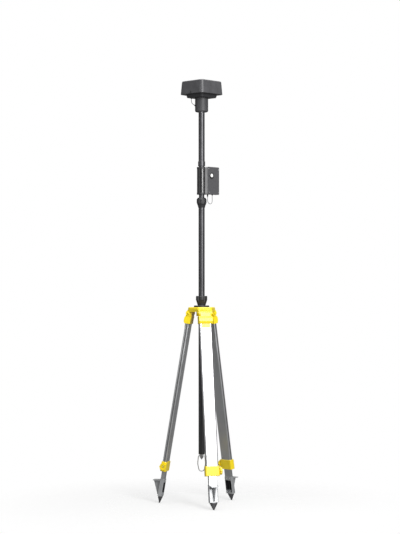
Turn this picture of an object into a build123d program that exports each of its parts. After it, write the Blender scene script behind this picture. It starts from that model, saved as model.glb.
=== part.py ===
"""GNSS receiver on a telescopic mast, with a clamped control unit and a folding tripod.

Millimetres, +Z up. The origin is the ground mark: the point on the floor under the mast's
axis. The legs stand at 0, 120 and 240 degrees about Z; the control unit faces -Y.
"""

import os
from math import cos, pi, radians, sin, tan

from build123d import *

os.makedirs("parts", exist_ok=True)

# ---------------------------------------------------------------- driving dimensions
# Clearances
RUN_FIT = 0.05  # radial gap of a shaft that turns or slides in its bore
SEAT_GAP = 0.05  # gap all round a piece that is seated in a pocket
BODY_GAP = 0.5  # gap between pieces that move past each other without a fit

# Tripod head
HINGE_Z = 1022.0
HINGE_RADIUS = 62.0
SPLAY = 9.6  # lean of a leg from the vertical, degrees
LEG_ANGLES = (0.0, 120.0, 240.0)
PLATE_RISE = 32.0  # the plate's top above the hinge pins
PLATE_THICKNESS = 14.0
PLATE_FLAT_RADIUS = 66.0
HUB_WALL = 10.0
HUB_DROP = 34.0
PIN_RADIUS = 5.0
LUG_RADIUS = 16.0
LUG_THICKNESS = 9.0
BOLT_HEAD_RADIUS = 7.0
BOLT_HEAD_HEIGHT = 4.0
SKIRT_WIDTH = 68.0
SKIRT_THICKNESS = 9.0
SKIRT_DROP = 10.5

# Hinge casting of a leg
KNUCKLE_RADIUS = 16.0
KNUCKLE_WIDTH = 55.0
CASTING_TOP = 17.0
CASTING_END = 57.0
CASTING_BULGE = 5.0
SOCKET_WALL = 3.0
SOCKET_TOP = 22.0
TONGUE_WIDTH = 46.0
TONGUE_LENGTH = 22.0
TONGUE_THICKNESS = 2.5

# Leg profiles
LEG_WIDTH = 68.0
LEG_DEPTH = 23.0
LEG_WALL = 2.0
LEG_CORNER = 8.0
SLIDE_GAP = 0.3
INNER_WIDTH = 44.0
INNER_TOP = 90.0
GROOVE_WIDTH = 2.4
GROOVE_DEPTH = 0.8

# Clamp at the foot of an outer leg
CLAMP_AT = 835.0  # down the leg from the hinge to the knob
CLAMP_SIDE_WALL = 5.0
CLAMP_FACE_WALL = 4.0
CLAMP_HEIGHT = 52.0
CLAMP_CORNER = 6.0
CLAMP_SLIT = 2.5
TUBE_SEAT_END = 6.0  # the outer leg ends this far above the knob
KNOB_RADIUS = 20.0
KNOB_HEIGHT = 13.0
STUD_RADIUS = 4.0

# Shoe and spike
CUP_DEPTH = 18.0
CHANNEL_LENGTH = 75.0
SPIKE_LENGTH = 38.5
SHOE_FLOOR = 8.0
SHOE_WALL = 2.2
PEDAL_REACH = 40.0
PEDAL_WIDTH = 40.0
PEDAL_DROP = 6.0  # the pedal's root below the shoe's top
PEDAL_RIB = 5.0
PEDAL_THICKNESS = 4.0
SPIKE_RADIUS = 21.0  # half the spike's width; it is an oval cone
SPIKE_DEPTH = 25.0
SPIKE_TIP_RADIUS = 2.5
SPIKE_SHANK = 5.0

# Mast
MAST_RADIUS = 16.5
MAST_WALL = 1.4
MAST_BOTTOM = 268.0
POINT_TIP = 239.0
POINT_RADIUS = 10.0
RING_AT = 259.0
RING_WIRE = 2.2
RING_HALF_WIDTH = 21.0
RING_DROP = 82.0
LOCK_BOTTOM = 1588.0
LOCK_HEIGHT = 53.0
LOCK_WALL = 10.0  # the twist lock's outside beyond the mast's
LOCK_BODY_HEIGHT = 24.0
LOCK_TUBE_DEPTH = 34.0
TUBE_PLAY = 0.6  # radial room between the two mast tubes
INNER_MAST_BOTTOM = 900.0
BUSH_LENGTH = 25.0
COUPLING_BOTTOM = 1810.0
COUPLING_HEIGHT = 26.0
COUPLING_WALL = 2.5
COUPLING_PLUG = 22.0
UPPER_TUBE_TOP = 2101.0
STUD_58_RADIUS = 7.94  # the 5/8 inch stud that survey instruments screw on to
STUD_58_LENGTH = 16.0
ADAPTER_CAP = 3.0
ADAPTER_PLUG = 25.0

# Collar that grips the mast on the head plate
FLANGE_RADIUS = 41.0
FLANGE_THICKNESS = 9.0
NECK_WALL = 2.3
NECK_HEIGHT = 35.0
COLLET_WALL = 1.4
COLLAR_NUT_LIFT = 3.0
COLLAR_NUT_HEIGHT = 48.0
COLLAR_NUT_RIM = 10.8  # the nut's lobes beyond the neck
COLLAR_NUT_SKIRT = 2.4  # the nut's foot beyond the neck
COLLAR_NUT_TURN = 14.0  # where the nut's first flute stands
COLLAR_SCREW_CIRCLE = 33.0
COLLAR_SCREW_RADIUS = 2.1
COLLAR_SCREW_LENGTH = 20.0

# Bracket and control unit
BRACKET_BOTTOM = 1658.0
BRACKET_RADIUS = 24.6
BRACKET_WALL = 3.0
RIM_WALL = 0.8
RIM_HEIGHT = 9.0
BUSH_DEPTH = 20.0
BRACKET_PLATE = 4.0
BRACKET_SCREW_RADIUS = 3.0
BRACKET_BOSS_RADIUS = 8.0
BRACKET_BOSS_REACH = 4.0
UNIT_LEFT = -1.5
UNIT_WIDTH = 86.0
UNIT_HEIGHT = 147.0
UNIT_DEPTH = 23.0
UNIT_CORNER = 4.0
UNIT_WALL = 2.5
SEAL_THICKNESS = 1.0
PANEL_THICKNESS = 3.0
PANEL_SCREW_LENGTH = 7.0
PANEL_SCREW_RADIUS = 1.5
PANEL_SCREW_HEAD = 2.9
PANEL_SCREW_INSET = 6.5
BUTTON_FROM_LEFT = 26.0
BUTTON_FROM_TOP = 46.0
BEZEL_RADIUS = 17.0
BEZEL_HEIGHT = 2.2
BUTTON_RADIUS = 9.5
BUTTON_TRAVEL = 1.2
BUTTON_COLLAR = 0.9
BUTTON_PROUD = 0.3
GLAND_INSET = 7.5
GLAND_SPACING = 36.0
LONG_GLAND = 14.0
SHORT_GLAND = 5.0

# Receiver
CANISTER_RADIUS = 35.3
CANISTER_WALL = 3.0
CANISTER_BOSS_RADIUS = 11.5
CANISTER_HEIGHT = 76.0
CANISTER_FLOOR = 6.0
CANISTER_ROUND = 8.0
FOOT_TOP_SIDE = 125.0
FOOT_BOTTOM_SIDE = 115.0
FOOT_HEIGHT = 17.0
COVER_SIDE = 170.0
COVER_DRAFT = 5.5  # how far each side leans in over the cover's height
COVER_HEIGHT = 72.0
COVER_CORNER = 20.0
COVER_ROUND = 8.0
COVER_WALL = 3.0
CELL_RADIUS = 9.0
CELL_LENGTH = 65.0
CELL_COUNT = 4
LID_THICKNESS = 4.0
LID_GAP = 0.6
POST_INSET = 10.0
POST_RADIUS = 5.0
POST_LIFT = 6.0
COVER_SCREW_RADIUS = 1.7
COVER_SCREW_HEAD = 3.2
COVER_SCREW_LENGTH = 12.0
SEAL_HEIGHT = 1.8
BOARD_SIDE = 128.0
BOARD_LIFT = 6.0
BOARD_THICKNESS = 1.6
PLANE_RADIUS = 60.0
PLANE_LIFT = 26.4
PLANE_THICKNESS = 1.5
PATCH_SIDE = 72.0
PATCH_HEIGHT = 9.0
STACK_SIDE = 46.0
STACK_HEIGHT = 6.0
SPACER_RADIUS = 3.0

# Leads
LEAD_RADIUS = 1.6
GLAND_RADIUS = 4.0

# Levels and reaches that follow from them
PLATE_TOP = HINGE_Z + PLATE_RISE
PLATE_BOTTOM = PLATE_TOP - PLATE_THICKNESS
FLANGE_TOP = PLATE_TOP + FLANGE_THICKNESS
NECK_TOP = FLANGE_TOP + NECK_HEIGHT
COLLAR_NUT_BOTTOM = FLANGE_TOP + COLLAR_NUT_LIFT
COLLAR_NUT_TOP = COLLAR_NUT_BOTTOM + COLLAR_NUT_HEIGHT
COLLET_RADIUS = MAST_RADIUS + COLLET_WALL
HUB_RADIUS = COLLET_RADIUS + HUB_WALL
NECK_RADIUS = COLLET_RADIUS + NECK_WALL
COLLAR_NUT_RADIUS = NECK_RADIUS + COLLAR_NUT_RIM
COLLAR_NUT_FOOT = NECK_RADIUS + COLLAR_NUT_SKIRT
MAST_BORE = MAST_RADIUS - MAST_WALL
INNER_MAST_RADIUS = MAST_BORE - TUBE_PLAY
INNER_MAST_BORE = INNER_MAST_RADIUS - MAST_WALL
LOCK_RADIUS = MAST_RADIUS + LOCK_WALL
LOCK_TOP = LOCK_BOTTOM + LOCK_HEIGHT
LOWER_TUBE_TOP = LOCK_BOTTOM + LOCK_TUBE_DEPTH
COUPLING_TOP = COUPLING_BOTTOM + COUPLING_HEIGHT
COUPLING_RADIUS = MAST_RADIUS + COUPLING_WALL
CASTING_WIDTH = LEG_WIDTH + 2 * SOCKET_WALL
CLAMP_WIDTH = LEG_WIDTH + 2 * CLAMP_SIDE_WALL
CLAMP_DEPTH = LEG_DEPTH + 2 * CLAMP_FACE_WALL
TIP_AT = HINGE_Z / cos(radians(SPLAY))
SHOE_END = TIP_AT - SPIKE_LENGTH
CUP_END = SHOE_END - CHANNEL_LENGTH
SHOE_TOP = CUP_END - CUP_DEPTH
PEDAL_AT = SHOE_TOP + PEDAL_DROP
LEG_TOP = SOCKET_TOP + 2.0
LEG_END = CLAMP_AT - TUBE_SEAT_END
CHANNEL_DEPTH = LEG_DEPTH - 2 * LEG_WALL
CHANNEL_WIDTH = INNER_WIDTH + 2 * SLIDE_GAP
INNER_DEPTH = CHANNEL_DEPTH - 2 * SLIDE_GAP
SHOE_WIDTH = INNER_WIDTH + 2 * (SHOE_WALL + SEAT_GAP)
SHOE_DEPTH = INNER_DEPTH + 2 * (SHOE_WALL + SEAT_GAP)
CANISTER_BOTTOM = UPPER_TUBE_TOP
CANISTER_TOP = CANISTER_BOTTOM + CANISTER_HEIGHT
COVER_TOP_SIDE = COVER_SIDE - 2 * COVER_DRAFT
COVER_BOTTOM = CANISTER_TOP + FOOT_HEIGHT
COVER_TOP = COVER_BOTTOM + COVER_HEIGHT
BRACKET_HEIGHT = UNIT_HEIGHT
BRACKET_BORE = BRACKET_RADIUS - BRACKET_WALL
BRACKET_RIM = BRACKET_RADIUS + RIM_WALL
PLATE_BACK = BRACKET_RADIUS - 1.6
UNIT_BACK = -(PLATE_BACK + BRACKET_PLATE)
UNIT_FRONT = UNIT_BACK - UNIT_DEPTH
UNIT_MIDDLE_X = UNIT_LEFT + UNIT_WIDTH / 2
UNIT_MIDDLE_Z = BRACKET_BOTTOM + UNIT_HEIGHT / 2
PANEL_BACK = UNIT_FRONT + PANEL_THICKNESS


def write(part, label):
    """Labels a finished sub-part and writes it as its own STEP file."""
    part.label = label
    export_step(part, f"parts/{label}.step")


def leg_axes(angle):
    """Unit vectors of a leg: along its hinge pin, outward from its wide face, and down it."""
    outward = Vector(1, 0, 0).rotate(Axis.Z, angle)
    tangent = Vector(0, 1, 0).rotate(Axis.Z, angle)
    lean = radians(SPLAY)
    normal = outward * cos(lean) + Vector(0, 0, sin(lean))
    down = outward * sin(lean) - Vector(0, 0, cos(lean))
    return tangent, normal, down


def leg_point(angle, along=0.0, sideways=0.0):
    """Point on a leg's centre line, or beside it along the hinge pin."""
    tangent, normal, down = leg_axes(angle)
    hinge = Vector(HINGE_RADIUS, 0, HINGE_Z).rotate(Axis.Z, angle)
    return hinge + down * along + tangent * sideways


def section_plane(angle, along):
    """Cross-section of a leg: x along the hinge pin, y outward, extruding down the leg."""
    tangent, normal, down = leg_axes(angle)
    return Plane(origin=leg_point(angle, along), x_dir=tangent, z_dir=down)


def side_plane(angle, along=0.0, sideways=0.0):
    """Lengthwise section of a leg: x outward, y down the leg, extruding along the pin."""
    tangent, normal, down = leg_axes(angle)
    return Plane(origin=leg_point(angle, along, sideways), x_dir=normal, z_dir=tangent)


def cord_path(points):
    """Corner points of a cord and the radii that join its straight runs by tangent arcs."""
    corners = [Vector(*point) for point in points]
    radii = []
    for before, corner, after in zip(corners, corners[1:], corners[2:]):
        arriving = corner - before
        leaving = after - corner
        half_turn = radians(arriving.get_angle(leaving)) / 2
        radii.append(0.45 * min(arriving.length, leaving.length) / tan(half_turn))
    return corners, radii


# ---------------------------------------------------------------- tripod head
# Head plate: a hexagonal casting with a hub for the mast, a pair of lugs for each leg and a
# skirt between the legs.
lug_height = PLATE_BOTTOM - HINGE_Z
with BuildPart() as head_plate:
    with BuildSketch(Plane.XY.offset(PLATE_BOTTOM)):
        RegularPolygon(PLATE_FLAT_RADIUS, 6, major_radius=False, rotation=30)
    extrude(amount=PLATE_THICKNESS)
    fillet(head_plate.edges().filter_by(Axis.Z), 12)
    chamfer(head_plate.faces().sort_by(Axis.Z)[-1].edges(), 4)
    with BuildSketch(Plane.XY.offset(PLATE_BOTTOM - HUB_DROP)):
        Circle(HUB_RADIUS)
    extrude(amount=HUB_DROP)
    for angle in LEG_ANGLES:
        for side in (-1, 1):
            middle = side * (KNUCKLE_WIDTH / 2 + BODY_GAP + LUG_THICKNESS / 2)
            tangent = Vector(0, 1, 0).rotate(Axis.Z, angle)
            outward = Vector(1, 0, 0).rotate(Axis.Z, angle)
            pin = leg_point(angle, 0, middle)
            with BuildSketch(Plane(origin=pin, x_dir=outward, z_dir=tangent)):
                Circle(LUG_RADIUS)
                with Locations((-LUG_RADIUS / 4, -lug_height / 2)):
                    Rectangle(1.5 * LUG_RADIUS, lug_height)
            extrude(amount=LUG_THICKNESS / 2, both=True)
    with BuildSketch(Plane.XY.offset(PLATE_BOTTOM - SKIRT_DROP)):
        with PolarLocations(PLATE_FLAT_RADIUS - SKIRT_THICKNESS / 2 - 1, 3, start_angle=60):
            Rectangle(SKIRT_THICKNESS, SKIRT_WIDTH)
    extrude(amount=SKIRT_DROP)
    for angle in LEG_ANGLES:
        with BuildSketch(side_plane(angle)):
            Circle(PIN_RADIUS)
        extrude(amount=CASTING_WIDTH, both=True, mode=Mode.SUBTRACT)
    with BuildSketch(Plane.XY.offset(PLATE_BOTTOM - HUB_DROP)):
        Circle(COLLET_RADIUS + RUN_FIT)
    extrude(amount=HUB_DROP + PLATE_THICKNESS, mode=Mode.SUBTRACT)
    with BuildSketch(Plane.XY.offset(FLANGE_TOP - COLLAR_SCREW_LENGTH)):
        with PolarLocations(COLLAR_SCREW_CIRCLE, 3, start_angle=60):
            Circle(COLLAR_SCREW_RADIUS)
    extrude(amount=COLLAR_SCREW_LENGTH, mode=Mode.SUBTRACT)
write(head_plate.part, "head_plate")

# Hinge bolts: a bolt through each pair of lugs, with a nut on its far end.
with BuildPart() as hinge_bolts:
    reach = KNUCKLE_WIDTH / 2 + BODY_GAP + LUG_THICKNESS
    for angle in LEG_ANGLES:
        with BuildSketch(side_plane(angle, 0, -reach)):
            Circle(PIN_RADIUS)
        extrude(amount=2 * reach + BOLT_HEAD_HEIGHT + 1)
        with BuildSketch(side_plane(angle, 0, -reach - BOLT_HEAD_HEIGHT)):
            RegularPolygon(BOLT_HEAD_RADIUS, 6)
        extrude(amount=BOLT_HEAD_HEIGHT)
        with BuildSketch(side_plane(angle, 0, reach)):
            RegularPolygon(BOLT_HEAD_RADIUS, 6)
            Circle(PIN_RADIUS + SEAT_GAP, mode=Mode.SUBTRACT)
        extrude(amount=BOLT_HEAD_HEIGHT)
write(hinge_bolts.part, "hinge_bolts")

# Collar flange: a disc screwed to the plate, with the threaded neck that holds the collet.
with BuildPart() as collar_flange:
    with BuildSketch(Plane.XY.offset(PLATE_TOP)):
        Circle(FLANGE_RADIUS)
    extrude(amount=FLANGE_THICKNESS)
    chamfer(collar_flange.faces().sort_by(Axis.Z)[-1].edges(), 2)
    with BuildSketch(Plane.XY.offset(FLANGE_TOP)):
        Circle(NECK_RADIUS)
    extrude(amount=NECK_TOP - FLANGE_TOP)
    with BuildSketch(Plane.XY.offset(PLATE_TOP)):
        Circle(COLLET_RADIUS + RUN_FIT)
    extrude(amount=NECK_TOP - PLATE_TOP, mode=Mode.SUBTRACT)
    with Locations(Plane.XY.offset(FLANGE_TOP)):
        with PolarLocations(COLLAR_SCREW_CIRCLE, 3, start_angle=60):
            CounterSinkHole(
                COLLAR_SCREW_RADIUS, 2 * COLLAR_SCREW_RADIUS, depth=FLANGE_THICKNESS
            )
write(collar_flange.part, "collar_flange")

with BuildPart() as collar_screws:
    shank = COLLAR_SCREW_LENGTH - COLLAR_SCREW_RADIUS
    with BuildSketch(Plane.XY.offset(FLANGE_TOP - COLLAR_SCREW_LENGTH)):
        with PolarLocations(COLLAR_SCREW_CIRCLE, 3, start_angle=60):
            Circle(COLLAR_SCREW_RADIUS)
    extrude(amount=shank)
    with BuildSketch(Plane.XY.offset(FLANGE_TOP - COLLAR_SCREW_RADIUS)):
        with PolarLocations(COLLAR_SCREW_CIRCLE, 3, start_angle=60):
            Circle(COLLAR_SCREW_RADIUS)
    extrude(amount=COLLAR_SCREW_RADIUS, taper=-45)
    with BuildSketch(Plane.XY.offset(FLANGE_TOP)):
        with PolarLocations(COLLAR_SCREW_CIRCLE, 3, start_angle=60):
            RegularPolygon(1.6, 6)
    extrude(amount=-1.5, mode=Mode.SUBTRACT)
write(collar_screws.part, "collar_screws")

# Mast collet: a slotted nylon sleeve that turns in the neck and closes on the mast.
with BuildPart() as mast_collet:
    with BuildSketch(Plane.XY.offset(PLATE_BOTTOM)):
        Circle(COLLET_RADIUS)
    extrude(amount=NECK_TOP + BODY_GAP - PLATE_BOTTOM)
    with BuildSketch(Plane.XY.offset(NECK_TOP + BODY_GAP)):
        Circle(NECK_RADIUS - 0.6)
    extrude(amount=7, taper=12)
    with BuildSketch(Plane.XY.offset(PLATE_BOTTOM)):
        Circle(MAST_RADIUS + RUN_FIT)
    extrude(amount=80, mode=Mode.SUBTRACT)
    with BuildSketch(Plane.XY.offset(NECK_TOP - 24)):
        with PolarLocations(MAST_RADIUS + 3, 4, start_angle=45):
            Rectangle(9, 2)
    extrude(amount=40, mode=Mode.SUBTRACT)
write(mast_collet.part, "mast_collet")

# Collar nut: a fluted tulip that screws down on the neck.
with BuildPart() as collar_nut:
    nut_shoulder = COLLAR_NUT_TOP - 20
    with BuildSketch(Plane.XZ) as profile:
        with BuildLine():
            Polyline(
                (NECK_RADIUS + RUN_FIT, COLLAR_NUT_BOTTOM),
                (COLLAR_NUT_FOOT, COLLAR_NUT_BOTTOM),
                (COLLAR_NUT_FOOT + 1.5, COLLAR_NUT_BOTTOM + 8),
                (COLLAR_NUT_RADIUS, nut_shoulder),
                (COLLAR_NUT_RADIUS, COLLAR_NUT_TOP - 3),
                (COLLAR_NUT_RADIUS - 3, COLLAR_NUT_TOP),
                (MAST_RADIUS + BODY_GAP, COLLAR_NUT_TOP),
                (MAST_RADIUS + BODY_GAP, COLLAR_NUT_TOP - 6),
                (NECK_RADIUS + RUN_FIT, COLLAR_NUT_TOP - 6),
                close=True,
            )
        make_face()
    revolve(axis=Axis.Z)
    with BuildSketch(Plane.XY.offset(COLLAR_NUT_BOTTOM + 12)):
        with PolarLocations(COLLAR_NUT_RADIUS + 3, 6, start_angle=COLLAR_NUT_TURN):
            Circle(7.5)
    extrude(amount=COLLAR_NUT_TOP - COLLAR_NUT_BOTTOM, mode=Mode.SUBTRACT)
write(collar_nut.part, "collar_nut")

# ---------------------------------------------------------------- legs
for number, angle in enumerate(LEG_ANGLES, 1):
    # Hinge casting: a knuckle on the bolt, a bulged socket for the outer leg, and a tongue.
    with BuildPart() as hinge_casting:
        with BuildSketch(side_plane(angle)):
            with BuildLine():
                Polyline(
                    (-KNUCKLE_RADIUS, CASTING_TOP),
                    (KNUCKLE_RADIUS, CASTING_TOP),
                    (KNUCKLE_RADIUS + CASTING_BULGE, CASTING_TOP + 12),
                    (KNUCKLE_RADIUS + CASTING_BULGE, CASTING_END - 12),
                    (LEG_DEPTH / 2 + CASTING_BULGE, CASTING_END),
                    (-LEG_DEPTH / 2 - SOCKET_WALL, CASTING_END),
                    (-LEG_DEPTH / 2 - SOCKET_WALL, CASTING_END - 22),
                    close=True,
                )
            make_face()
        extrude(amount=CASTING_WIDTH / 2, both=True)
        fillet(hinge_casting.edges(), 1.5)
        with BuildSketch(side_plane(angle)):
            Circle(KNUCKLE_RADIUS)
            with Locations((0, SOCKET_TOP / 2)):
                Rectangle(2 * KNUCKLE_RADIUS, SOCKET_TOP)
        extrude(amount=KNUCKLE_WIDTH / 2, both=True)
        with BuildSketch(side_plane(angle)):
            with Locations((LEG_DEPTH / 2 + TONGUE_THICKNESS / 2, CASTING_END)):
                Rectangle(TONGUE_THICKNESS, 2 * TONGUE_LENGTH)
        extrude(amount=TONGUE_WIDTH / 2, both=True)
        with BuildSketch(section_plane(angle, SOCKET_TOP)):
            RectangleRounded(
                LEG_WIDTH + 2 * SEAT_GAP, LEG_DEPTH + 2 * SEAT_GAP, LEG_CORNER + SEAT_GAP
            )
        extrude(amount=CASTING_END, mode=Mode.SUBTRACT)
        with BuildSketch(side_plane(angle)):
            Circle(PIN_RADIUS + RUN_FIT)
        extrude(amount=CASTING_WIDTH, both=True, mode=Mode.SUBTRACT)
    write(hinge_casting.part, f"hinge_casting_{number}")

    # Outer leg: an extruded profile with two webs that guide the inner leg.
    web_at = CHANNEL_WIDTH / 2 + LEG_WALL / 2
    with BuildPart() as outer_leg:
        with BuildSketch(section_plane(angle, LEG_TOP)):
            RectangleRounded(LEG_WIDTH, LEG_DEPTH, LEG_CORNER)
            for side in (-1, 1):
                with Locations((-web_at, side * LEG_DEPTH / 2), (web_at, side * LEG_DEPTH / 2)):
                    Rectangle(GROOVE_WIDTH, 2 * GROOVE_DEPTH, mode=Mode.SUBTRACT)
        extrude(amount=LEG_END - LEG_TOP)
        with BuildSketch(section_plane(angle, LEG_TOP)):
            RectangleRounded(LEG_WIDTH - 2 * LEG_WALL, CHANNEL_DEPTH, LEG_CORNER - LEG_WALL)
            with Locations((-web_at, 0), (web_at, 0)):
                Rectangle(LEG_WALL, CHANNEL_DEPTH + 1, mode=Mode.SUBTRACT)
        extrude(amount=LEG_END - LEG_TOP, mode=Mode.SUBTRACT)
    write(outer_leg.part, f"outer_leg_{number}")

    # Clamp: a block seated on the outer leg's end, bored for the inner leg and the knob.
    clamp_top = CLAMP_AT - CLAMP_HEIGHT / 2
    with BuildPart() as leg_clamp:
        with BuildSketch(section_plane(angle, clamp_top)):
            RectangleRounded(CLAMP_WIDTH, CLAMP_DEPTH, CLAMP_CORNER)
        extrude(amount=CLAMP_HEIGHT)
        fillet(leg_clamp.faces().sort_by(Axis.Z)[-1].edges(), 1.5)
        fillet(leg_clamp.faces().sort_by(Axis.Z)[0].edges(), 1.5)
        with BuildSketch(section_plane(angle, clamp_top)):
            RectangleRounded(
                LEG_WIDTH + 2 * SEAT_GAP, LEG_DEPTH + 2 * SEAT_GAP, LEG_CORNER + SEAT_GAP
            )
        extrude(amount=LEG_END - clamp_top, mode=Mode.SUBTRACT)
        with BuildSketch(section_plane(angle, clamp_top)):
            Rectangle(CHANNEL_WIDTH, CHANNEL_DEPTH)
        extrude(amount=CLAMP_HEIGHT, mode=Mode.SUBTRACT)
        with BuildSketch(section_plane(angle, LEG_END)):
            with Locations((CLAMP_WIDTH / 2, 0)):
                Rectangle(CLAMP_WIDTH - CHANNEL_WIDTH, CLAMP_SLIT)
        extrude(amount=CLAMP_HEIGHT, mode=Mode.SUBTRACT)
        with BuildSketch(side_plane(angle, CLAMP_AT)):
            Circle(STUD_RADIUS + RUN_FIT)
        extrude(amount=CLAMP_WIDTH, mode=Mode.SUBTRACT)
    write(leg_clamp.part, f"leg_clamp_{number}")

    # Clamp knob: a lobed grip moulded on the screw that presses on the inner leg.
    knob_face = CLAMP_WIDTH / 2 + BODY_GAP
    with BuildPart() as clamp_knob:
        with BuildSketch(side_plane(angle, CLAMP_AT, CHANNEL_WIDTH / 2 + 0.1)):
            Circle(STUD_RADIUS)
        extrude(amount=knob_face - CHANNEL_WIDTH / 2)
        with BuildSketch(side_plane(angle, CLAMP_AT, knob_face)):
            Circle(KNOB_RADIUS / 2)
        extrude(amount=2)
        with BuildSketch(side_plane(angle, CLAMP_AT, knob_face + 1.5)):
            Circle(KNOB_RADIUS - 2)
            with PolarLocations(KNOB_RADIUS - 4, 8):
                Circle(4)
        extrude(amount=KNOB_HEIGHT - 1.5)
        with BuildSketch(side_plane(angle, CLAMP_AT, knob_face + KNOB_HEIGHT)):
            Circle(KNOB_RADIUS / 2)
            Circle(STUD_RADIUS, mode=Mode.SUBTRACT)
        extrude(amount=-2, mode=Mode.SUBTRACT)
    write(clamp_knob.part, f"clamp_knob_{number}")

    # Inner leg: a plain box profile that slides in the outer leg.
    with BuildPart() as inner_leg:
        with BuildSketch(section_plane(angle, INNER_TOP)):
            RectangleRounded(INNER_WIDTH, INNER_DEPTH, 2.5)
            RectangleRounded(
                INNER_WIDTH - 2 * LEG_WALL, INNER_DEPTH - 2 * LEG_WALL, 1.0, mode=Mode.SUBTRACT
            )
        extrude(amount=CUP_END - INNER_TOP)
    write(inner_leg.part, f"inner_leg_{number}")

    # Shoe: a cup for the inner leg, a channel open towards the mast, and a foot pedal.
    shoe_face = SHOE_DEPTH / 2
    pedal_edge = PEDAL_AT + PEDAL_REACH * tan(radians(SPLAY))
    with BuildPart() as shoe:
        with BuildSketch(section_plane(angle, SHOE_TOP)):
            RectangleRounded(SHOE_WIDTH, SHOE_DEPTH, 4)
        extrude(amount=SHOE_END - SHOE_TOP)
        with BuildSketch(side_plane(angle)):
            with BuildLine():
                Polyline(
                    (shoe_face - 1, PEDAL_AT),
                    (shoe_face, PEDAL_AT),
                    (shoe_face + PEDAL_REACH, pedal_edge),
                    (shoe_face + 7, SHOE_END - 6),
                    (shoe_face - 1, SHOE_END - 6),
                    close=True,
                )
            make_face()
        extrude(amount=PEDAL_RIB / 2, both=True)
        with BuildSketch(side_plane(angle)):
            with BuildLine():
                Polyline(
                    (shoe_face - 1, PEDAL_AT),
                    (shoe_face, PEDAL_AT),
                    (shoe_face + PEDAL_REACH, pedal_edge),
                    (shoe_face + PEDAL_REACH, pedal_edge + PEDAL_THICKNESS),
                    (shoe_face - 1, PEDAL_AT + PEDAL_THICKNESS),
                    close=True,
                )
            make_face()
        extrude(amount=PEDAL_WIDTH / 2, both=True)
        with BuildSketch(section_plane(angle, SHOE_TOP)):
            RectangleRounded(INNER_WIDTH + 2 * SEAT_GAP, INNER_DEPTH + 2 * SEAT_GAP, 2.5)
        extrude(amount=CUP_END - SHOE_TOP, mode=Mode.SUBTRACT)
        with BuildSketch(section_plane(angle, CUP_END)):
            with Locations((0, -2 * SHOE_WALL)):
                Rectangle(SHOE_WIDTH - 2 * SHOE_WALL, SHOE_DEPTH)
        extrude(amount=SHOE_END - SHOE_FLOOR - CUP_END, mode=Mode.SUBTRACT)
        with BuildSketch(section_plane(angle, SHOE_END - SHOE_FLOOR)):
            Circle(SPIKE_SHANK + SEAT_GAP)
        extrude(amount=SHOE_FLOOR, mode=Mode.SUBTRACT)
    write(shoe.part, f"shoe_{number}")

    # Spike: a forged steel cone riveted through the shoe's floor, with its tip cut level.
    rivet_head = SHOE_DEPTH / 2 - 2 * SHOE_WALL - SEAT_GAP
    with BuildPart() as spike:
        with BuildSketch(section_plane(angle, SHOE_END)):
            Ellipse(SPIKE_RADIUS, SPIKE_DEPTH / 2)
        extrude(amount=4)
        with BuildSketch(section_plane(angle, SHOE_END + 4)):
            Ellipse(SPIKE_RADIUS, SPIKE_DEPTH / 2)
        with BuildSketch(section_plane(angle, TIP_AT + 1)):
            Circle(SPIKE_TIP_RADIUS)
        loft()
        with BuildSketch(section_plane(angle, SHOE_END - SHOE_FLOOR - 5)):
            Circle(SPIKE_SHANK)
        extrude(amount=SHOE_FLOOR + 5)
        with BuildSketch(section_plane(angle, SHOE_END - SHOE_FLOOR)):
            Circle(rivet_head)
        extrude(amount=-4, taper=20)
        split(bisect_by=Plane.XY, keep=Keep.TOP)
    write(spike.part, f"spike_{number}")

# ---------------------------------------------------------------- lower mast
with BuildPart() as lower_tube:
    with BuildSketch(Plane.XY.offset(MAST_BOTTOM)):
        Circle(MAST_RADIUS)
        Circle(MAST_BORE, mode=Mode.SUBTRACT)
    extrude(amount=LOWER_TUBE_TOP - MAST_BOTTOM)
write(lower_tube.part, "lower_tube")

# Mast point: a turned steel plug with a shoulder, a cross hole for the ring and a cone.
ring_plane = Plane(origin=(0, 0, RING_AT), x_dir=(1, -1, 0), z_dir=(-1, -1, 0))
cross_plane = Plane(origin=(0, 0, RING_AT), x_dir=(1, 1, 0), z_dir=(1, -1, 0))
with BuildPart() as mast_point:
    with BuildSketch(Plane.XZ):
        with BuildLine():
            Polyline(
                (0, POINT_TIP),
                (1.5, POINT_TIP),
                (POINT_RADIUS, MAST_BOTTOM - 16),
                (POINT_RADIUS, MAST_BOTTOM - 2),
                (MAST_RADIUS - 1, MAST_BOTTOM - 2),
                (MAST_RADIUS - 1, MAST_BOTTOM),
                (MAST_BORE, MAST_BOTTOM),
                (MAST_BORE, MAST_BOTTOM + 24),
                (0, MAST_BOTTOM + 24),
                close=True,
            )
        make_face()
    revolve(axis=Axis.Z)
    with BuildSketch(cross_plane):
        Circle(RING_WIRE + RUN_FIT)
    extrude(amount=2 * POINT_RADIUS, both=True, mode=Mode.SUBTRACT)
write(mast_point.part, "mast_point")

# Weight ring: a closed oval of wire whose straight top runs through the cross hole.
with BuildPart() as weight_ring:
    with BuildLine(ring_plane) as ring_line:
        FilletPolyline(
            (0, 0),
            (17, 0),
            (RING_HALF_WIDTH, -0.53 * RING_DROP),
            (0.6 * RING_HALF_WIDTH, -RING_DROP),
            (-0.6 * RING_HALF_WIDTH, -RING_DROP),
            (-RING_HALF_WIDTH, -0.53 * RING_DROP),
            (-17, 0),
            radius=[0, 6, 60, 15, 15, 60, 6],
            close=True,
        )
    with BuildSketch(Plane(origin=ring_plane.origin, z_dir=(1, -1, 0))):
        Circle(RING_WIRE)
    sweep(path=ring_line.wires()[0])
write(weight_ring.part, "weight_ring")

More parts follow.
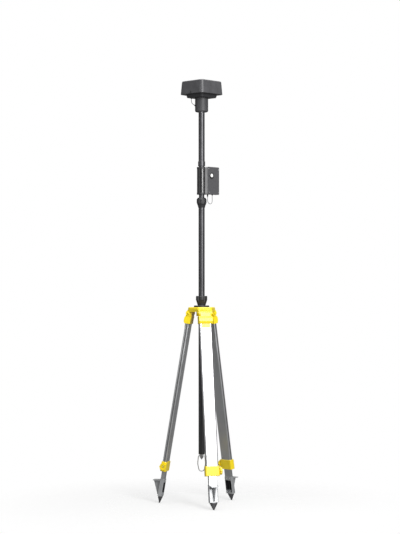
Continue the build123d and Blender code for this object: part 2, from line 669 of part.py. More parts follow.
# Twist lock: a body on the tube's end, a split collet above it and a fluted nut.
lock_split = LOCK_BOTTOM + LOCK_BODY_HEIGHT
lock_neck = MAST_RADIUS + 3.3
lock_seat = MAST_RADIUS + 0.8
with BuildPart() as lock_body:
    with BuildSketch(Plane.XZ):
        with BuildLine():
            Polyline(
                (MAST_RADIUS, LOCK_BOTTOM),
                (MAST_RADIUS + 1.5, LOCK_BOTTOM),
                (LOCK_RADIUS - 5.5, LOCK_BOTTOM + 12),
                (LOCK_RADIUS - 1.5, lock_split - 3),
                (LOCK_RADIUS - 1.5, lock_split),
                (lock_neck, lock_split),
                (lock_neck, LOWER_TUBE_TOP + 8),
                (lock_seat, LOWER_TUBE_TOP + 8),
                (lock_seat, LOWER_TUBE_TOP),
                (MAST_RADIUS, LOWER_TUBE_TOP),
                close=True,
            )
        make_face()
    revolve(axis=Axis.Z)
write(lock_body.part, "lock_body")

with BuildPart() as lock_collet:
    with BuildSketch(Plane.XY.offset(LOWER_TUBE_TOP)):
        Circle(lock_seat)
        Circle(INNER_MAST_RADIUS + RUN_FIT, mode=Mode.SUBTRACT)
    extrude(amount=13)
    with BuildSketch(Plane.XY.offset(LOWER_TUBE_TOP + 3)):
        with PolarLocations(lock_seat - 1, 6):
            Rectangle(6, 1.6)
    extrude(amount=20, mode=Mode.SUBTRACT)
write(lock_collet.part, "lock_collet")

with BuildPart() as lock_nut:
    with BuildSketch(Plane.XZ):
        with BuildLine():
            Polyline(
                (lock_neck + RUN_FIT, lock_split + BODY_GAP),
                (LOCK_RADIUS, lock_split + BODY_GAP),
                (LOCK_RADIUS, LOCK_TOP - 9),
                (LOCK_RADIUS - 6.5, LOCK_TOP),
                (INNER_MAST_RADIUS + BODY_GAP, LOCK_TOP),
                (INNER_MAST_RADIUS + BODY_GAP, LOCK_TOP - 4),
                (lock_seat + BODY_GAP, LOCK_TOP - 4),
                (lock_neck + RUN_FIT, LOCK_TOP - 9),
                close=True,
            )
        make_face()
    revolve(axis=Axis.Z)
    with BuildSketch(Plane.XY.offset(lock_split)):
        with PolarLocations(LOCK_RADIUS + 2.2, 14):
            Circle(3.2)
    extrude(amount=LOCK_TOP - lock_split - 7, mode=Mode.SUBTRACT)
write(lock_nut.part, "lock_nut")

# ---------------------------------------------------------------- upper mast
with BuildPart() as inner_tube:
    with BuildSketch(Plane.XY.offset(INNER_MAST_BOTTOM)):
        Circle(INNER_MAST_RADIUS)
        Circle(INNER_MAST_BORE, mode=Mode.SUBTRACT)
    extrude(amount=COUPLING_TOP + COUPLING_PLUG / 2 - INNER_MAST_BOTTOM)
write(inner_tube.part, "inner_tube")

with BuildPart() as slide_bush:
    with BuildSketch(Plane.XY.offset(INNER_MAST_BOTTOM)):
        Circle(MAST_BORE - RUN_FIT)
        Circle(INNER_MAST_RADIUS, mode=Mode.SUBTRACT)
    extrude(amount=BUSH_LENGTH)
write(slide_bush.part, "slide_bush")

with BuildPart() as coupling_sleeve:
    with BuildSketch(Plane.XZ):
        with BuildLine():
            Polyline(
                (INNER_MAST_RADIUS, COUPLING_BOTTOM),
                (COUPLING_RADIUS - 1, COUPLING_BOTTOM),
                (COUPLING_RADIUS, COUPLING_BOTTOM + 1),
                (COUPLING_RADIUS, COUPLING_TOP - 1),
                (COUPLING_RADIUS - 1, COUPLING_TOP),
                (MAST_BORE, COUPLING_TOP),
                (MAST_BORE, COUPLING_TOP + COUPLING_PLUG),
                (INNER_MAST_RADIUS, COUPLING_TOP + COUPLING_PLUG),
                close=True,
            )
        make_face()
    revolve(axis=Axis.Z)
write(coupling_sleeve.part, "coupling_sleeve")

with BuildPart() as upper_tube:
    with BuildSketch(Plane.XY.offset(COUPLING_TOP)):
        Circle(MAST_RADIUS)
        Circle(MAST_BORE, mode=Mode.SUBTRACT)
    extrude(amount=UPPER_TUBE_TOP - ADAPTER_CAP - COUPLING_TOP)
write(upper_tube.part, "upper_tube")

# Mast adapter: a plug in the tube's top, a shoulder and the 5/8 inch stud.
with BuildPart() as mast_adapter:
    with BuildSketch(Plane.XY.offset(UPPER_TUBE_TOP - ADAPTER_CAP - ADAPTER_PLUG)):
        Circle(MAST_BORE)
    extrude(amount=ADAPTER_PLUG)
    with BuildSketch(Plane.XY.offset(UPPER_TUBE_TOP - ADAPTER_CAP)):
        Circle(MAST_RADIUS)
    extrude(amount=ADAPTER_CAP)
    with BuildSketch(Plane.XY.offset(UPPER_TUBE_TOP)):
        Circle(STUD_58_RADIUS)
    extrude(amount=STUD_58_LENGTH)
write(mast_adapter.part, "mast_adapter")

# ---------------------------------------------------------------- bracket and control unit
# Bracket: a sleeve round the mast with a boss for its screw, and a back plate for the unit.
plate_low = BRACKET_BOTTOM + RIM_HEIGHT + 2
plate_height = BRACKET_HEIGHT - 2 * (RIM_HEIGHT + 2)
knob_z = BRACKET_BOTTOM + BRACKET_HEIGHT / 2
screw_plane = Plane(origin=(0, 0, knob_z), x_dir=(0, 1, 0), z_dir=(1, 0, 0))
with BuildPart() as bracket:
    with BuildSketch(Plane.XY.offset(BRACKET_BOTTOM + RIM_HEIGHT)):
        Circle(BRACKET_RADIUS)
    extrude(amount=BRACKET_HEIGHT - 2 * RIM_HEIGHT)
    with BuildSketch(Plane.XY.offset(plate_low)):
        with Locations((UNIT_MIDDLE_X - 3, -(PLATE_BACK + BRACKET_PLATE / 2))):
            Rectangle(UNIT_WIDTH - 10, BRACKET_PLATE)
        with Locations((12, -PLATE_BACK + 2)):
            Rectangle(24, BRACKET_PLATE)
    extrude(amount=plate_height)
    with BuildSketch(screw_plane):
        Circle(BRACKET_BOSS_RADIUS)
    extrude(amount=BRACKET_RADIUS + BRACKET_BOSS_REACH)
    with BuildSketch(Plane.XY.offset(BRACKET_BOTTOM + RIM_HEIGHT)):
        Circle(BRACKET_BORE)
    extrude(amount=BRACKET_HEIGHT - 2 * RIM_HEIGHT, mode=Mode.SUBTRACT)
    with BuildSketch(screw_plane):
        Circle(BRACKET_SCREW_RADIUS + RUN_FIT)
    extrude(amount=BRACKET_RADIUS + 10, mode=Mode.SUBTRACT)
write(bracket.part, "bracket")

# Bracket bushes: flanged nylon rings in the sleeve's ends, running on the inner tube.
with BuildPart() as bracket_bushes:
    for foot, inward in ((BRACKET_BOTTOM, 1), (BRACKET_BOTTOM + BRACKET_HEIGHT, -1)):
        with BuildSketch(Plane.XY.offset(foot)):
            Circle(BRACKET_RIM)
            Circle(INNER_MAST_RADIUS + RUN_FIT, mode=Mode.SUBTRACT)
        extrude(amount=inward * RIM_HEIGHT)
        with BuildSketch(Plane.XY.offset(foot)):
            Circle(BRACKET_BORE)
            Circle(INNER_MAST_RADIUS + RUN_FIT, mode=Mode.SUBTRACT)
        extrude(amount=inward * BUSH_DEPTH)
write(bracket_bushes.part, "bracket_bushes")

with BuildPart() as bracket_knob:
    with BuildSketch(screw_plane.offset(INNER_MAST_RADIUS + 0.4)):
        Circle(BRACKET_SCREW_RADIUS)
    extrude(amount=BRACKET_RADIUS + 6 - INNER_MAST_RADIUS)
    with BuildSketch(screw_plane.offset(BRACKET_RADIUS + BRACKET_BOSS_REACH + BODY_GAP)):
        Circle(BRACKET_BOSS_RADIUS - 1)
        with PolarLocations(BRACKET_BOSS_RADIUS - 2, 6):
            Circle(3)
    extrude(amount=11)
    chamfer(bracket_knob.faces().sort_by(Axis.X)[-1].edges(), 1)
write(bracket_knob.part, "bracket_knob")

# Unit body: a light alloy tray, open at the front.
front_plane = Plane(origin=(UNIT_MIDDLE_X, 0, UNIT_MIDDLE_Z), x_dir=(1, 0, 0), z_dir=(0, -1, 0))
tray_depth = UNIT_DEPTH - PANEL_THICKNESS
screw_span_x = UNIT_WIDTH - 2 * PANEL_SCREW_INSET
screw_span_z = UNIT_HEIGHT - 4 * PANEL_SCREW_INSET
button_x = BUTTON_FROM_LEFT - UNIT_WIDTH / 2
button_z = UNIT_HEIGHT / 2 - BUTTON_FROM_TOP
gland_depth = -(UNIT_BACK - UNIT_DEPTH / 2)
gland_near = UNIT_LEFT + GLAND_INSET
gland_far = gland_near + GLAND_SPACING
seal_inset = 0.6
seal_band = UNIT_WALL - 2 * seal_inset
seal_width = UNIT_WIDTH - 2 * seal_inset
seal_height = UNIT_HEIGHT - 2 * seal_inset
with BuildPart() as unit_body:
    with BuildSketch(front_plane.offset(-UNIT_BACK)):
        RectangleRounded(UNIT_WIDTH, UNIT_HEIGHT, UNIT_CORNER)
    extrude(amount=tray_depth)
    with BuildSketch(front_plane.offset(-UNIT_BACK + UNIT_WALL)):
        RectangleRounded(UNIT_WIDTH - 2 * UNIT_WALL, UNIT_HEIGHT - 2 * UNIT_WALL, 1.5)
    extrude(amount=tray_depth, mode=Mode.SUBTRACT)
    with BuildSketch(front_plane.offset(-UNIT_BACK)):
        with GridLocations(screw_span_x, screw_span_z, 2, 2):
            Rectangle(9, 9)
    extrude(amount=tray_depth)
    with BuildSketch(front_plane.offset(-UNIT_FRONT - PANEL_SCREW_LENGTH)):
        with GridLocations(screw_span_x, screw_span_z, 2, 2):
            Circle(PANEL_SCREW_RADIUS)
    extrude(amount=PANEL_SCREW_LENGTH, mode=Mode.SUBTRACT)
    with BuildSketch(front_plane.offset(-PANEL_BACK - SEAL_THICKNESS)):
        RectangleRounded(seal_width, seal_height, UNIT_CORNER - seal_inset)
        RectangleRounded(
            seal_width - 2 * seal_band, seal_height - 2 * seal_band, 2, mode=Mode.SUBTRACT
        )
    extrude(amount=SEAL_THICKNESS, mode=Mode.SUBTRACT)
    with BuildSketch(Plane.XY.offset(BRACKET_BOTTOM - 1)):
        with Locations((gland_near, -gland_depth), (gland_far, -gland_depth)):
            Circle(GLAND_RADIUS)
    extrude(amount=12, mode=Mode.SUBTRACT)
write(unit_body.part, "unit_body")

with BuildPart() as panel_seal:
    with BuildSketch(front_plane.offset(-PANEL_BACK - SEAL_THICKNESS)):
        RectangleRounded(seal_width, seal_height, UNIT_CORNER - seal_inset)
        RectangleRounded(
            seal_width - 2 * seal_band, seal_height - 2 * seal_band, 2, mode=Mode.SUBTRACT
        )
    extrude(amount=SEAL_THICKNESS)
write(panel_seal.part, "panel_seal")

# Front panel: a plate with a raised ring and a sleeved hole that guides the button.
with BuildPart() as unit_panel:
    with BuildSketch(front_plane.offset(-PANEL_BACK)):
        RectangleRounded(UNIT_WIDTH, UNIT_HEIGHT, UNIT_CORNER)
    extrude(amount=PANEL_THICKNESS)
    chamfer(unit_panel.faces().sort_by(Axis.Y)[0].edges(), 0.8)
    with BuildSketch(front_plane.offset(-UNIT_FRONT)):
        with Locations((button_x, button_z)):
            Circle(BEZEL_RADIUS)
    extrude(amount=BEZEL_HEIGHT)
    fillet(unit_panel.faces().sort_by(Axis.Y)[0].edges(), 1)
    with Locations(front_plane.offset(-UNIT_FRONT)):
        with GridLocations(screw_span_x, screw_span_z, 2, 2):
            CounterSinkHole(PANEL_SCREW_RADIUS, PANEL_SCREW_HEAD, depth=PANEL_THICKNESS)
    with BuildSketch(front_plane.offset(-PANEL_BACK)):
        with Locations((button_x, button_z)):
            Circle(BUTTON_RADIUS + RUN_FIT)
    extrude(amount=PANEL_THICKNESS + BEZEL_HEIGHT, mode=Mode.SUBTRACT)
write(unit_panel.part, "unit_panel")

with BuildPart() as panel_screws:
    panel_head = PANEL_SCREW_HEAD - PANEL_SCREW_RADIUS
    with BuildSketch(front_plane.offset(-UNIT_FRONT - PANEL_SCREW_LENGTH)):
        with GridLocations(screw_span_x, screw_span_z, 2, 2):
            Circle(PANEL_SCREW_RADIUS)
    extrude(amount=PANEL_SCREW_LENGTH - panel_head)
    with BuildSketch(front_plane.offset(-UNIT_FRONT - panel_head)):
        with GridLocations(screw_span_x, screw_span_z, 2, 2):
            Circle(PANEL_SCREW_RADIUS)
    extrude(amount=panel_head, taper=-45)
write(panel_screws.part, "panel_screws")

# Power button: a cap with a collar behind the panel that keeps it in.
with BuildPart() as power_button:
    button_foot = BUTTON_COLLAR + SLIDE_GAP
    with BuildSketch(front_plane.offset(-PANEL_BACK - button_foot)):
        with Locations((button_x, button_z)):
            Circle(BUTTON_RADIUS)
    extrude(amount=button_foot + PANEL_THICKNESS + BEZEL_HEIGHT + BUTTON_TRAVEL + BUTTON_PROUD)
    fillet(power_button.faces().sort_by(Axis.Y)[0].edges(), 1.1)
    with BuildSketch(front_plane.offset(-PANEL_BACK - button_foot)):
        with Locations((button_x, button_z)):
            Circle(BUTTON_RADIUS + 1.5)
    extrude(amount=BUTTON_COLLAR)
write(power_button.part, "power_button")

with BuildPart() as unit_board:
    with BuildSketch(front_plane.offset(-UNIT_BACK + 13)):
        RectangleRounded(UNIT_WIDTH - 26, UNIT_HEIGHT - 26, 2)
    extrude(amount=1.6)
write(unit_board.part, "unit_board")

with BuildPart() as unit_battery:
    with BuildSketch(front_plane.offset(-UNIT_BACK + UNIT_WALL)):
        with Locations((0, -12)):
            RectangleRounded(UNIT_WIDTH - 30, UNIT_HEIGHT - 60, 4)
    extrude(amount=8)
write(unit_battery.part, "unit_battery")

# Unit glands: a long strain relief at the box's edge and a short one further in.
with BuildPart() as unit_glands:
    for across, drop in ((gland_near, LONG_GLAND), (gland_far, SHORT_GLAND)):
        with BuildSketch(Plane.XY.offset(BRACKET_BOTTOM)):
            with Locations((across, -gland_depth)):
                Circle(GLAND_RADIUS)
        extrude(amount=8)
        with BuildSketch(Plane.XY.offset(BRACKET_BOTTOM)):
            with Locations((across, -gland_depth)):
                Circle(GLAND_RADIUS + 1)
        with BuildSketch(Plane.XY.offset(BRACKET_BOTTOM - drop)):
            with Locations((across, -gland_depth)):
                Circle(LEAD_RADIUS + 0.8)
        loft()
write(unit_glands.part, "unit_glands")

# Unit lead: a loop of cable that hangs from the long gland and goes back into the short one.
UNIT_LEAD_ROUTE = tuple(
    (gland_near + across, -gland_depth - forward, BRACKET_BOTTOM - drop)
    for across, forward, drop in (
        (0, 0, LONG_GLAND),
        (0, 0, 25),
        (0.6, 0.3, 38.2),
        (7.2, 0.9, 47.9),
        (18.4, 1.2, 51.5),
        (29.5, 0.9, 47.7),
        (36.2, 0.3, 38),
        (GLAND_SPACING, 0, 21),
        (GLAND_SPACING, 0, SHORT_GLAND),
    )
)

# ---------------------------------------------------------------- receiver
# Canister: a round shell with a threaded boss in its floor for the mast's stud.
with BuildPart() as canister:
    with BuildSketch(Plane.XY.offset(CANISTER_BOTTOM)):
        Circle(CANISTER_RADIUS)
    extrude(amount=CANISTER_TOP - CANISTER_BOTTOM)
    fillet(canister.faces().sort_by(Axis.Z)[0].edges(), CANISTER_ROUND)
    with BuildSketch(Plane.XY.offset(CANISTER_BOTTOM + CANISTER_WALL)):
        Circle(CANISTER_RADIUS - CANISTER_WALL)
    extrude(amount=CANISTER_TOP, mode=Mode.SUBTRACT)
    with BuildSketch(Plane.XY.offset(CANISTER_BOTTOM + CANISTER_WALL)):
        Circle(CANISTER_RADIUS - CANISTER_WALL)
    extrude(amount=CANISTER_FLOOR)
    with BuildSketch(Plane.XY.offset(CANISTER_BOTTOM)):
        Circle(CANISTER_BOSS_RADIUS)
    extrude(amount=STUD_58_LENGTH + 2 + CANISTER_WALL)
    with BuildSketch(Plane.XY.offset(CANISTER_BOTTOM)):
        Circle(STUD_58_RADIUS)
    extrude(amount=STUD_58_LENGTH + 2, mode=Mode.SUBTRACT)
write(canister.part, "canister")

with BuildPart() as battery_cells:
    cell_circle = CANISTER_RADIUS - CANISTER_WALL - CELL_RADIUS - 1.2
    with BuildSketch(Plane.XY.offset(CANISTER_BOTTOM + CANISTER_WALL + CANISTER_FLOOR)):
        with PolarLocations(cell_circle, CELL_COUNT):
            Circle(CELL_RADIUS)
    extrude(amount=CELL_LENGTH)
write(battery_cells.part, "battery_cells")

# Receiver base: a lid for the cover with a tapered foot that the canister hangs from.
base_side = COVER_SIDE - 2 * COVER_WALL - 2 * LID_GAP
lid_corner = COVER_CORNER - COVER_WALL + 1
screw_post = COVER_SIDE - 2 * COVER_WALL - 2 * POST_INSET
lid_top = COVER_BOTTOM + LID_THICKNESS
cover_head = COVER_SCREW_HEAD - COVER_SCREW_RADIUS
with BuildPart() as receiver_base:
    with BuildSketch(Plane.XY.offset(CANISTER_TOP)):
        RectangleRounded(FOOT_BOTTOM_SIDE, FOOT_BOTTOM_SIDE, 10)
    with BuildSketch(Plane.XY.offset(COVER_BOTTOM)):
        RectangleRounded(FOOT_TOP_SIDE, FOOT_TOP_SIDE, 12)
    loft()
    with BuildSketch(Plane.XY.offset(COVER_BOTTOM)):
        RectangleRounded(base_side, base_side, lid_corner)
    extrude(amount=LID_THICKNESS)
    with BuildSketch(Plane.XY.offset(CANISTER_TOP + COVER_WALL)):
        RectangleRounded(FOOT_BOTTOM_SIDE - 8, FOOT_BOTTOM_SIDE - 8, 8)
    extrude(amount=FOOT_HEIGHT + LID_THICKNESS, mode=Mode.SUBTRACT)
    with BuildSketch(Plane.XY.offset(CANISTER_TOP)):
        Circle(6)
    extrude(amount=COVER_WALL, mode=Mode.SUBTRACT)
    with Locations(Plane.XY.offset(COVER_BOTTOM).rotated((180, 0, 0))):
        with GridLocations(screw_post, screw_post, 2, 2):
            CounterSinkHole(COVER_SCREW_RADIUS, COVER_SCREW_HEAD, depth=LID_THICKNESS)
write(receiver_base.part, "receiver_base")

with BuildPart() as receiver_screws:
    with BuildSketch(Plane.XY.offset(COVER_BOTTOM + cover_head)):
        with GridLocations(screw_post, screw_post, 2, 2):
            Circle(COVER_SCREW_RADIUS)
    extrude(amount=COVER_SCREW_LENGTH)
    with BuildSketch(Plane.XY.offset(COVER_BOTTOM + cover_head)):
        with GridLocations(screw_post, screw_post, 2, 2):
            Circle(COVER_SCREW_RADIUS)
    extrude(amount=-cover_head, taper=-45)
write(receiver_screws.part, "receiver_screws")

# Receiver cover: a drafted square shell with rounded corners and four screw posts.
with BuildPart() as receiver_cover:
    with BuildSketch(Plane.XY.offset(COVER_BOTTOM)):
        RectangleRounded(COVER_SIDE, COVER_SIDE, COVER_CORNER)
    with BuildSketch(Plane.XY.offset(COVER_TOP)):
        RectangleRounded(COVER_TOP_SIDE, COVER_TOP_SIDE, COVER_CORNER - 2)
    loft()
    fillet(receiver_cover.faces().sort_by(Axis.Z)[-1].edges(), COVER_ROUND)
    fillet(receiver_cover.faces().sort_by(Axis.Z)[0].edges(), 2)
    inside = COVER_SIDE - 2 * COVER_WALL
    inside_top = COVER_TOP_SIDE - 2 * COVER_WALL
    with BuildSketch(Plane.XY.offset(COVER_BOTTOM)):
        RectangleRounded(inside, inside, COVER_CORNER - COVER_WALL)
    with BuildSketch(Plane.XY.offset(COVER_TOP - COVER_WALL)):
        RectangleRounded(inside_top, inside_top, COVER_CORNER - 2 - COVER_WALL)
    loft(mode=Mode.SUBTRACT)
    with BuildSketch(Plane.XY.offset(COVER_BOTTOM + POST_LIFT)):
        with GridLocations(screw_post, screw_post, 2, 2):
            Circle(POST_RADIUS)
    extrude(until=Until.NEXT)
    with BuildSketch(Plane.XY.offset(COVER_BOTTOM + POST_LIFT)):
        with GridLocations(screw_post, screw_post, 2, 2):
            Circle(COVER_SCREW_RADIUS)
    extrude(amount=COVER_SCREW_LENGTH, mode=Mode.SUBTRACT)
write(receiver_cover.part, "receiver_cover")

with BuildPart() as cover_seal:
    with BuildSketch(Plane.XY.offset(lid_top)):
        RectangleRounded(base_side - 2, base_side - 2, lid_corner - 1)
        RectangleRounded(base_side - 7, base_side - 7, lid_corner - 3, mode=Mode.SUBTRACT)
    extrude(amount=SEAL_HEIGHT)
write(cover_seal.part, "cover_seal")

# Receiver board on four spacers, and the antenna: a metal disc with two ceramic blocks.
board_level = lid_top + BOARD_LIFT
plane_level = board_level + BOARD_THICKNESS + PLANE_LIFT
with BuildPart() as receiver_board:
    with BuildSketch(Plane.XY.offset(board_level)):
        RectangleRounded(BOARD_SIDE, BOARD_SIDE, 4)
    extrude(amount=BOARD_THICKNESS)
    with BuildSketch(Plane.XY.offset(lid_top)):
        with GridLocations(BOARD_SIDE - 10, BOARD_SIDE - 10, 2, 2):
            Circle(SPACER_RADIUS)
    extrude(amount=BOARD_LIFT)
write(receiver_board.part, "receiver_board")

with BuildPart() as antenna_patch:
    with BuildSketch(Plane.XY.offset(board_level + BOARD_THICKNESS)):
        with GridLocations(1.3 * PLANE_RADIUS, 1.3 * PLANE_RADIUS, 2, 2):
            Circle(SPACER_RADIUS)
    extrude(amount=PLANE_LIFT)
    with BuildSketch(Plane.XY.offset(plane_level)):
        Circle(PLANE_RADIUS)
    extrude(amount=PLANE_THICKNESS)
    with BuildSketch(Plane.XY.offset(plane_level + PLANE_THICKNESS)):
        RectangleRounded(PATCH_SIDE, PATCH_SIDE, 2)
    extrude(amount=PATCH_HEIGHT)
    with BuildSketch(Plane.XY.offset(plane_level + PLANE_THICKNESS + PATCH_HEIGHT)):
        RectangleRounded(STACK_SIDE, STACK_SIDE, 2)
    extrude(amount=STACK_HEIGHT)
write(antenna_patch.part, "antenna_patch")

# Antenna lead: drops from a gland under the base and turns into a gland on the canister.
lead_out = Vector(-1, 1, 0).normalized()
lead_start = 55.0
lead_side = CANISTER_RADIUS + 4.7
ANTENNA_LEAD_ROUTE = tuple(
    tuple(lead_out * reach_out + Vector(0, 0, level))
    for reach_out, level in (
        (lead_start, CANISTER_TOP - 6),
        (lead_start, CANISTER_TOP - 18),
        (lead_start - 2.9, CANISTER_TOP - 27),
        (lead_start - 8.4, CANISTER_TOP - 33.5),
        (lead_side, CANISTER_TOP - 37.3),
    )
)
with BuildPart() as lead_glands:
    with BuildSketch(Plane.XY.offset(CANISTER_TOP)):
        with Locations(lead_out * lead_start):
            Circle(GLAND_RADIUS)
    with BuildSketch(Plane.XY.offset(CANISTER_TOP - 6)):
        with Locations(lead_out * lead_start):
            Circle(LEAD_RADIUS + 0.8)
    loft()
    side_gland = Vector(*ANTENNA_LEAD_ROUTE[-1])
    inward = (side_gland - Vector(*ANTENNA_LEAD_ROUTE[-2])).normalized()
    with BuildSketch(Plane(origin=side_gland, z_dir=inward)):
        Circle(LEAD_RADIUS + 0.8)
    with BuildSketch(Plane(origin=side_gland + inward * 8, z_dir=inward)):
        Circle(GLAND_RADIUS + 0.5)
    loft()
    with BuildSketch(Plane.XY.offset(CANISTER_BOTTOM)):
        Circle(CANISTER_RADIUS)
    extrude(amount=CANISTER_TOP - CANISTER_BOTTOM, mode=Mode.SUBTRACT)
write(lead_glands.part, "lead_glands")

for label, route in (("antenna_lead", ANTENNA_LEAD_ROUTE), ("unit_lead", UNIT_LEAD_ROUTE)):
    corners, radii = cord_path(route)
    print(label, "radii", [round(radius, 1) for radius in radii])
    with BuildPart() as lead:
        with BuildLine() as path:
            FilletPolyline(*corners, radius=radii)
        with BuildSketch(Plane(origin=corners[0], z_dir=corners[1] - corners[0])):
            Circle(LEAD_RADIUS)
        sweep(path=path.wires()[0])
    length = path.wires()[0].length
    ratio = lead.part.volume / (pi * LEAD_RADIUS**2 * length)
    print(label, "length", round(length, 1), "volume ratio", round(ratio, 4))
    write(lead.part, label)
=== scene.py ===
"""GNSS receiver on a telescopic mast in a folding tripod: finishes and fine pieces.

Metres, +Z up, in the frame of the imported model. The origin is the ground mark.
"""

from math import atan, cos, pi, radians, sin

import bmesh
import bpy
import numpy as np
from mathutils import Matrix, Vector


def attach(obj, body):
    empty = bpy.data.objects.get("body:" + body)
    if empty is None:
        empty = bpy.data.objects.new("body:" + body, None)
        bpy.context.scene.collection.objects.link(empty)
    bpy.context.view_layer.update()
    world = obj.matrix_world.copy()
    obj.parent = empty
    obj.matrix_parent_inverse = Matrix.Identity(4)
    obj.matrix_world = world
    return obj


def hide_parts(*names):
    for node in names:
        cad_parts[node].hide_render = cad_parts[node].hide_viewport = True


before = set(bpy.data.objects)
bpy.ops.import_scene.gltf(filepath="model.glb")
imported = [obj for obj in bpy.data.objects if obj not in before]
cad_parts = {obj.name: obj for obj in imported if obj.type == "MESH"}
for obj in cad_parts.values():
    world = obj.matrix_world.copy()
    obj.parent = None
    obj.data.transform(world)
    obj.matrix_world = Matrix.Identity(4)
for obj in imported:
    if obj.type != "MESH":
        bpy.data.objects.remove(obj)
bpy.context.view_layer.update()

# ---------------------------------------------------------------- camera, floor and light
# The instrument stands in a white studio on a pale seamless floor. It is seen from well
# back at chest height, so that the mast and the legs keep their lines.
VIEW_AZIMUTH = radians(-45.7)
CAMERA_DISTANCE = 8.4
CAMERA_HEIGHT = 1.146
CAMERA_TILT = radians(0.840911491)
CAMERA_OFFSET = 0.0086
to_camera = Vector((sin(VIEW_AZIMUTH), -cos(VIEW_AZIMUTH), 0))
to_right = Vector((cos(VIEW_AZIMUTH), sin(VIEW_AZIMUTH), 0))
camera = bpy.data.objects.new("camera", bpy.data.cameras.new("camera"))
bpy.context.scene.collection.objects.link(camera)
camera.data.lens = 105.6
camera.location = (
    to_camera * CAMERA_DISTANCE - to_right * CAMERA_OFFSET + Vector((0, 0, CAMERA_HEIGHT))
)
camera.rotation_euler = (pi / 2 + CAMERA_TILT, 0, VIEW_AZIMUTH)
bpy.context.scene.camera = camera


class Wire:
    """An output of a node tree. Sums and products of wires add Math nodes to the tree."""

    def __init__(self, tree, socket=None):
        self.tree = tree
        self.socket = socket

    def node(self, kind, settings=(), values=(), out=0):
        """Adds a node. Its settings are set first, then its sockets are set or linked."""
        made = self.tree.nodes.new(kind)
        for name, value in dict(settings).items():
            if name == "stops":
                for stop, (place, colour) in enumerate(value):
                    if stop > 1:
                        made.color_ramp.elements.new(place)
                    made.color_ramp.elements[stop].position = place
                    made.color_ramp.elements[stop].color = (*colour, 1)
            else:
                setattr(made, name, value)
        for name, value in dict(values).items():
            if isinstance(value, Wire):
                self.tree.links.new(value.socket, made.inputs[name])
            else:
                made.inputs[name].default_value = value
        return Wire(self.tree, made.outputs[out] if len(made.outputs) else None)

    def sum(self, operation, first, second):
        return self.node("ShaderNodeMath", {"operation": operation}, {0: first, 1: second})

    def __add__(self, other):
        return self.sum("ADD", self, other)

    def __radd__(self, other):
        return self.sum("ADD", other, self)

    def __sub__(self, other):
        return self.sum("SUBTRACT", self, other)

    def __rsub__(self, other):
        return self.sum("SUBTRACT", other, self)

    def __mul__(self, other):
        return self.sum("MULTIPLY", self, other)

    def __rmul__(self, other):
        return self.sum("MULTIPLY", other, self)


def link_tree(id_block):
    """An empty node tree of a material or a world, as a wire with no socket yet."""
    id_block.use_nodes = True
    id_block.node_tree.nodes.clear()
    return Wire(id_block.node_tree)


# The white surround shows to the camera as plain white; what it gives to the surfaces is a
# dimmer grey room, so that the dark anodising and the satin legs keep their tone.
room = link_tree(bpy.data.worlds.new("studio"))
bpy.context.scene.world = bpy.data.worlds["studio"]
seen = room.node("ShaderNodeLightPath")
plain = room.node("ShaderNodeBackground", (), {"Color": (1, 1, 1, 1), "Strength": 1.0})
dim = room.node("ShaderNodeBackground", (), {"Color": (1, 1, 1, 1), "Strength": 0.20})
chosen = room.node("ShaderNodeMixShader", (), {0: seen, 1: dim, 2: plain})
room.node("ShaderNodeOutputWorld", (), {"Surface": chosen})

floor_mesh = bpy.data.meshes.new("floor")
FLOOR_HALF = 3.0
floor_mesh.from_pydata(
    [(-FLOOR_HALF, -FLOOR_HALF, 0), (FLOOR_HALF, -FLOOR_HALF, 0),
     (FLOOR_HALF, FLOOR_HALF, 0), (-FLOOR_HALF, FLOOR_HALF, 0)],
    [],
    [(0, 1, 2, 3)],
)
floor = bpy.data.objects.new("floor", floor_mesh)
bpy.context.scene.collection.objects.link(floor)
floor.visible_glossy = False
floor_mesh.materials.append(bpy.data.materials.new("floor_paper"))
paper = link_tree(floor_mesh.materials[0])
place = paper.node("ShaderNodeTexCoord", (), (), out=3)
radius = paper.node("ShaderNodeVectorMath", {"operation": "LENGTH"}, {0: place}, out=1)
fade = paper.node(
    "ShaderNodeMapRange",
    {"interpolation_type": "SMOOTHSTEP"},
    {"Value": radius, "From Min": 0.35, "From Max": 1.3, "To Min": 0.68, "To Max": 1.0},
)
matt = paper.node("ShaderNodeBsdfDiffuse", (), {"Color": (0.80, 0.80, 0.80, 1)})
clear = paper.node("ShaderNodeBsdfTransparent")
blend = paper.node("ShaderNodeMixShader", (), {0: fade, 1: matt, 2: clear})
paper.node("ShaderNodeOutputMaterial", (), {"Surface": blend})


def soft_box(name, azimuth, elevation, distance, power, width, height, target):
    """A rectangular light at a bearing round the camera's side, turned to its target."""
    light = bpy.data.lights.new(name, "AREA")
    light.shape = "RECTANGLE"
    light.size = width
    light.size_y = height
    light.energy = power
    lamp = bpy.data.objects.new(name, light)
    bpy.context.scene.collection.objects.link(lamp)
    bearing = VIEW_AZIMUTH + radians(azimuth)
    rise = radians(elevation)
    away = Vector((sin(bearing) * cos(rise), -cos(bearing) * cos(rise), sin(rise)))
    lamp.location = Vector(target) + away * distance
    lamp.rotation_euler = away.to_track_quat("Z", "Y").to_euler()
    return lamp


MID_MAST = (0, 0, 1.1)
TRIPOD_MIDDLE = (0, 0, 0.6)
soft_box("key", 25, 20, 4.2, 180, 1.2, 2.6, MID_MAST)
soft_box("fill", -62, 12, 4.5, 16, 1.0, 2.6, MID_MAST)
soft_box("top", 20, 80, 3.6, 100, 2.4, 2.4, TRIPOD_MIDDLE)
bpy.context.scene.view_settings.view_transform = "Standard"

# ---------------------------------------------------------------- tripod head
# The head plate and the hinge pieces are one yellow powder-coated alloy casting each,
# cast, blasted and coated, so their faces carry a fine orange-peel texture.
SPLAY = radians(9.6)
LEG_ANGLES = (0, 120, 240)
HINGE = (0.062, 1.022)  # radius from the mast's axis, height


